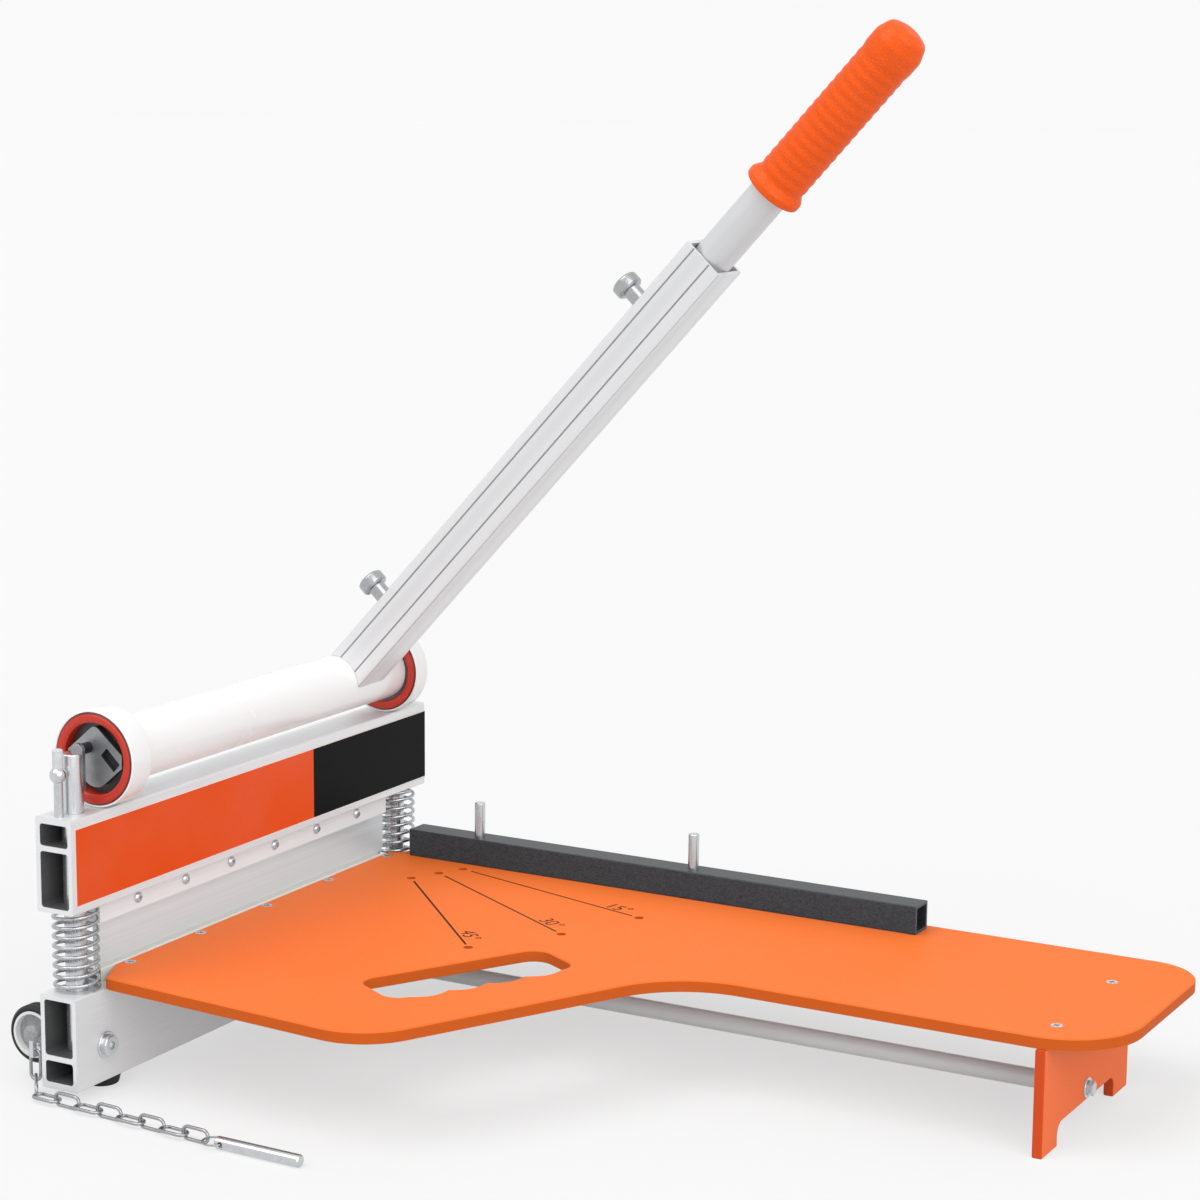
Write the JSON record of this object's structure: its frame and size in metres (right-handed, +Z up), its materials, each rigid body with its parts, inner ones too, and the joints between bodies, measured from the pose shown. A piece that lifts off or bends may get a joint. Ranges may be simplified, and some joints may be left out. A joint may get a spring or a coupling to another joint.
{
  "type": "laminate cutter",
  "caption": "Lever-operated guillotine cutter for laminate boards, with an eccentric drum, a telescopic handle, an angled table with a fence, and transport wheels.",
  "frame": {"origin": "on the floor, under the middle of the object's length and width", "axes": "+X from the beams out along the table, +Y along the beams to the fence end, +Z up"},
  "size_m": [0.67, 0.4313, 0.672],
  "materials": {
    "aluminium": "satin anodised",
    "steel": "zinc plated",
    "spring_steel": "bright wire",
    "blade_steel": "ground",
    "white_coat": "glossy white",
    "red_rubber": "satin",
    "cast_grey": "as cast",
    "orange_board": "orange laminate",
    "orange_label": "printed film, orange with a black end",
    "orange_grip": "matte",
    "black_rubber": "matte",
    "tyre_black": "matte",
    "fence_black": "black anodised",
    "ivory_nylon": "satin",
    "white_plastic": "satin"
  },
  "bodies": {
    "base": {"base_beam": "aluminium", "rubber_foot_front": "black_rubber", "rubber_foot_rear": "black_rubber", "guide_post_front": "steel", "guide_post_rear": "steel", "pivot_plate_front": "steel", "pivot_plate_rear": "steel", "return_spring_front": "spring_steel", "return_spring_rear": "spring_steel", "anvil_strip": "ivory_nylon", "table": "orange_board", "table_screw_1": "steel", "table_screw_2": "steel", "table_screw_3": "steel", "table_screw_4": "steel", "table_screw_5": "steel", "leg_screw_1": "steel", "leg_screw_2": "steel", "leg": "orange_board", "brace_rod": "aluminium", "rod_screw": "steel", "wheel_bracket_front": "steel", "wheel_bracket_rear": "steel", "bracket_bolt_front": "steel", "bracket_bolt_rear": "steel", "lock_chain": "steel", "split_ring": "steel", "lock_pin": "steel"},
    "blade_beam": {"upper_beam": "aluminium", "blade_holder": "aluminium", "blade": "blade_steel", "clamp_strip": "aluminium", "blade_screw_1": "steel", "blade_screw_2": "steel", "blade_screw_3": "steel", "blade_screw_4": "steel", "blade_screw_5": "steel", "blade_screw_6": "steel", "label_plate": "orange_label", "lock_keeper": "steel"},
    "lever": {"drum_tube": "white_coat", "drum_collar_front": "white_coat", "drum_collar_rear": "white_coat", "collar_ring_front": "red_rubber", "collar_ring_rear": "red_rubber", "drum_hub_front": "cast_grey", "drum_hub_rear": "cast_grey", "handle_tube": "aluminium", "handle_spigot": "aluminium"},
    "extension": {"inner_tube": "aluminium", "grip": "orange_grip"},
    "lower_knob": {"thumb_screw_lower": "steel"},
    "upper_knob": {"thumb_screw_upper": "steel"},
    "fence_bar": {"fence": "fence_black", "fence_pin_left": "steel", "fence_pin_right": "steel"},
    "front_wheel": {"wheel_tyre_front": "tyre_black", "wheel_hub_front": "white_plastic"},
    "rear_wheel": {"wheel_tyre_rear": "tyre_black", "wheel_hub_rear": "white_plastic"}
  },
  "joints": [
    {"name": "handle_swing", "type": "hinge", "parent": "base", "child": "lever", "pos_m": [-0.279, 0, 0.2206], "axis": [0, 1, 0], "range_deg": [-90, 35]},
    {"name": "beam_slide", "type": "slide", "parent": "base", "child": "blade_beam", "axis": [0, 0, 1], "range_m": [-0.00365, 0.00935], "stiffness_N_per_m": 4400, "springref_m": 0.015, "deforming": ["return_spring_front", "return_spring_rear"]},
    {"name": "handle_extend", "type": "slide", "parent": "lever", "child": "extension", "axis": [0.6807, 0, 0.7325], "range_m": [-0.055, 0.11]},
    {"name": "thumb_screw_lower_turn", "type": "hinge", "parent": "lever", "child": "lower_knob", "pos_m": [-0.22761, 0.1145, 0.26398], "axis": [-0.7325, 0, 0.6807], "range_deg": [0, 360]},
    {"name": "thumb_screw_upper_turn", "type": "hinge", "parent": "lever", "child": "upper_knob", "pos_m": [-0.02748, 0.1145, 0.47935], "axis": [-0.7325, 0, 0.6807], "range_deg": [0, 360]},
    {"name": "fence_lift", "type": "slide", "parent": "base", "child": "fence_bar", "axis": [0, 0, 1], "range_m": [0, 0.045]},
    {"name": "front_wheel_spin", "type": "hinge", "parent": "base", "child": "front_wheel", "pos_m": [-0.316, -0.178, 0.0315], "axis": [0, 1, 0], "continuous": true},
    {"name": "rear_wheel_spin", "type": "hinge", "parent": "base", "child": "rear_wheel", "pos_m": [-0.316, 0.178, 0.0315], "axis": [0, 1, 0], "continuous": true}
  ],
  "couplings": [
    {"joint": "beam_slide", "follows": "handle_swing", "m_per_rad": -0.00594}
  ]
}
